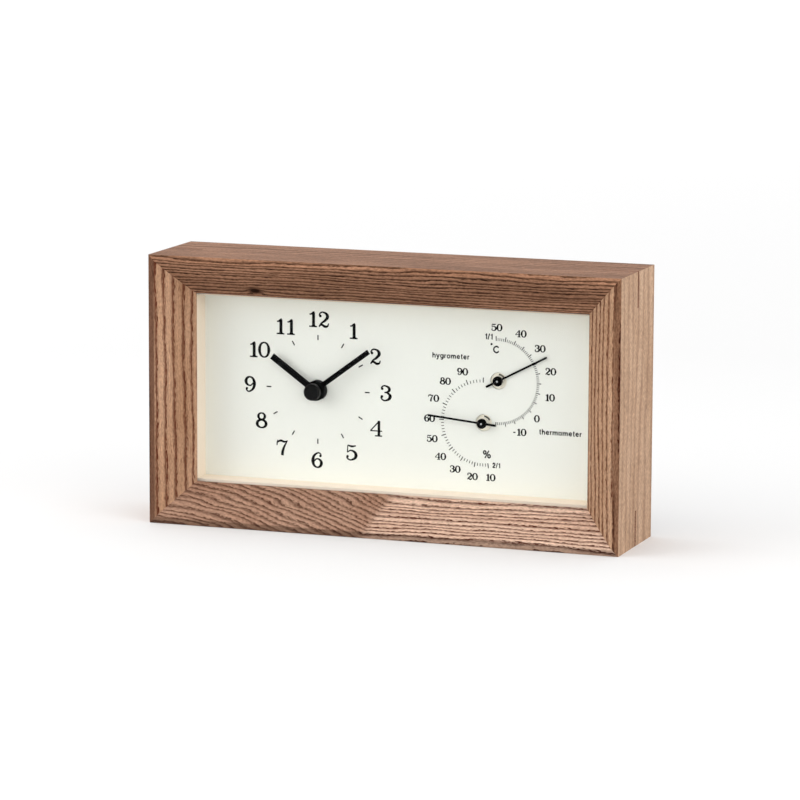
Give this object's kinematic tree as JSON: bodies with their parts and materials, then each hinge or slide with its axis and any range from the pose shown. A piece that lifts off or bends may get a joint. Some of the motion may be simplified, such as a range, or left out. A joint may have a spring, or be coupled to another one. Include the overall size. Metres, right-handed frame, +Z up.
{
  "type": "desk clock with thermometer and hygrometer",
  "caption": "Free-standing desk clock in a mitred, bevelled timber frame, with a thermometer and a hygrometer beside the clock dial behind one pane of glass.",
  "frame": {"origin": "middle of the base: centred in width and depth, on the surface the clock stands on", "axes": "+X to the right seen from the front, +Y from the front to the back, +Z up"},
  "size_m": [0.2, 0.046, 0.1105],
  "materials": {
    "stained_ash": "brown stained and waxed open grain",
    "raw_softwood": "sawn pine, unfinished",
    "hardboard": "smooth dark hardboard",
    "cream_card": "cream faced mount board",
    "printed_card": "matt off-white printed card on board",
    "window_glass": "clear polished float glass",
    "zinc_steel": "zinc plated",
    "black_enamel": "satin black enamel on aluminium",
    "black_gloss": "glossy black ABS",
    "black_abs": "moulded black ABS, fine spark texture",
    "white_acetal": "moulded white acetal",
    "brass": "turned brass, lightly dulled",
    "bimetal": "rolled bimetal strip",
    "spindle_steel": "ground steel",
    "ferrite": "grey ferrite",
    "core_iron": "soft iron lamination",
    "copper_wire": "enamelled copper winding",
    "circuit_laminate": "green laminate",
    "chip_resin": "black potting resin",
    "crystal_can": "bright can",
    "nickel_strip": "nickel plated spring strip",
    "cell_jacket": "plain dark grey jacket with bare steel ends",
    "foam": "white closed-cell foam"
  },
  "bodies": {
    "case": {"top_rail": "stained_ash", "bottom_rail": "stained_ash", "left_stile": "stained_ash", "right_stile": "stained_ash", "corner_splines": "stained_ash", "top_liner": "cream_card", "bottom_liner": "cream_card", "left_liner": "cream_card", "right_liner": "cream_card", "glass_pane": "window_glass", "dial_board": "printed_card", "top_batten": "raw_softwood", "bottom_batten": "raw_softwood", "left_batten": "raw_softwood", "right_batten": "raw_softwood", "back_panel": "hardboard", "back_panel_screws": "zinc_steel", "mounting_pad": "foam", "movement_base": "black_abs", "movement_cover": "black_abs", "train_plate": "white_acetal", "stator": "core_iron", "coil_core": "core_iron", "coil_bobbin": "white_acetal", "coil_winding": "copper_wire", "circuit_board": "circuit_laminate", "driver_chip": "chip_resin", "quartz_crystal": "crystal_can", "positive_contact": "nickel_strip", "negative_contact": "nickel_strip", "thermometer_case": "brass", "thermometer_bridge": "brass", "thermometer_coil": "bimetal", "hygrometer_case": "brass", "hygrometer_bridge": "brass", "hygrometer_coil": "bimetal"},
    "minute_hand": {"minute_hand": "black_enamel", "minute_arbor": "brass", "hub_cap": "black_gloss"},
    "hour_hand": {"hour_hand": "black_enamel", "hour_wheel": "white_acetal"},
    "works_wheel": {"minute_works_wheel": "white_acetal"},
    "setting_knob": {"setting_stem": "white_acetal", "setting_knob": "white_acetal"},
    "rotor": {"rotor_magnet": "ferrite", "rotor_pinion": "white_acetal"},
    "intermediate_wheel": {"intermediate_wheel": "white_acetal"},
    "seconds_wheel": {"seconds_wheel": "white_acetal"},
    "third_wheel": {"third_wheel": "white_acetal"},
    "centre_wheel": {"centre_wheel": "white_acetal"},
    "thermometer_pointer": {"thermometer_pointer": "black_enamel", "thermometer_spindle": "spindle_steel"},
    "hygrometer_pointer": {"hygrometer_pointer": "black_enamel", "hygrometer_spindle": "spindle_steel"},
    "cell": {"battery_cell": "cell_jacket"}
  },
  "joints": [
    {"name": "minute_hand_turn", "type": "hinge", "parent": "case", "child": "minute_hand", "pos_m": [-0.0353, -0.0038, 0.05525], "axis": [0, 1, 0], "continuous": true},
    {"name": "hour_hand_turn", "type": "hinge", "parent": "case", "child": "hour_hand", "pos_m": [-0.0353, -0.00175, 0.05525], "axis": [0, 1, 0], "continuous": true},
    {"name": "works_wheel_turn", "type": "hinge", "parent": "case", "child": "works_wheel", "pos_m": [-0.03724, 0.00775, 0.06249], "axis": [0, 1, 0], "continuous": true},
    {"name": "setting_knob_turn", "type": "hinge", "parent": "case", "child": "setting_knob", "pos_m": [-0.03789, 0.0214, 0.06997], "axis": [0, 1, 0], "continuous": true},
    {"name": "rotor_turn", "type": "hinge", "parent": "case", "child": "rotor", "pos_m": [-0.02297, 0.01435, 0.0532], "axis": [0, 1, 0], "continuous": true},
    {"name": "intermediate_wheel_turn", "type": "hinge", "parent": "case", "child": "intermediate_wheel", "pos_m": [-0.02609, 0.01435, 0.0586], "axis": [0, 1, 0], "continuous": true},
    {"name": "seconds_wheel_turn", "type": "hinge", "parent": "case", "child": "seconds_wheel", "pos_m": [-0.0353, 0.0127, 0.05525], "axis": [0, 1, 0], "continuous": true},
    {"name": "third_wheel_turn", "type": "hinge", "parent": "case", "child": "third_wheel", "pos_m": [-0.04462, 0.01105, 0.05443], "axis": [0, 1, 0], "continuous": true},
    {"name": "centre_wheel_turn", "type": "hinge", "parent": "case", "child": "centre_wheel", "pos_m": [-0.0353, 0.0094, 0.05525], "axis": [0, 1, 0], "continuous": true},
    {"name": "thermometer_pointer_turn", "type": "hinge", "parent": "case", "child": "thermometer_pointer", "pos_m": [0.04215, 0.0003, 0.0634], "axis": [0, -1, 0], "range_deg": [-119.7, 64.3], "deforming": ["thermometer_coil"]},
    {"name": "hygrometer_pointer_turn", "type": "hinge", "parent": "case", "child": "hygrometer_pointer", "pos_m": [0.03605, -0.0012, 0.04605], "axis": [0, 1, 0], "range_deg": [-103.8, 86.7], "deforming": ["hygrometer_coil"]},
    {"name": "cell_out", "type": "slide", "parent": "case", "child": "cell", "axis": [0, 1, 0], "range_m": [0, 0.03]}
  ],
  "couplings": [
    {"joint": "hour_hand_turn", "follows": "minute_hand_turn", "ratio": 0.083333},
    {"joint": "works_wheel_turn", "follows": "minute_hand_turn", "ratio": -0.33333},
    {"joint": "setting_knob_turn", "follows": "minute_hand_turn", "ratio": 1},
    {"joint": "intermediate_wheel_turn", "follows": "rotor_turn", "ratio": -0.2},
    {"joint": "seconds_wheel_turn", "follows": "rotor_turn", "ratio": 0.033333},
    {"joint": "third_wheel_turn", "follows": "rotor_turn", "ratio": -0.0044444},
    {"joint": "centre_wheel_turn", "follows": "rotor_turn", "ratio": 0.00055556}
  ]
}
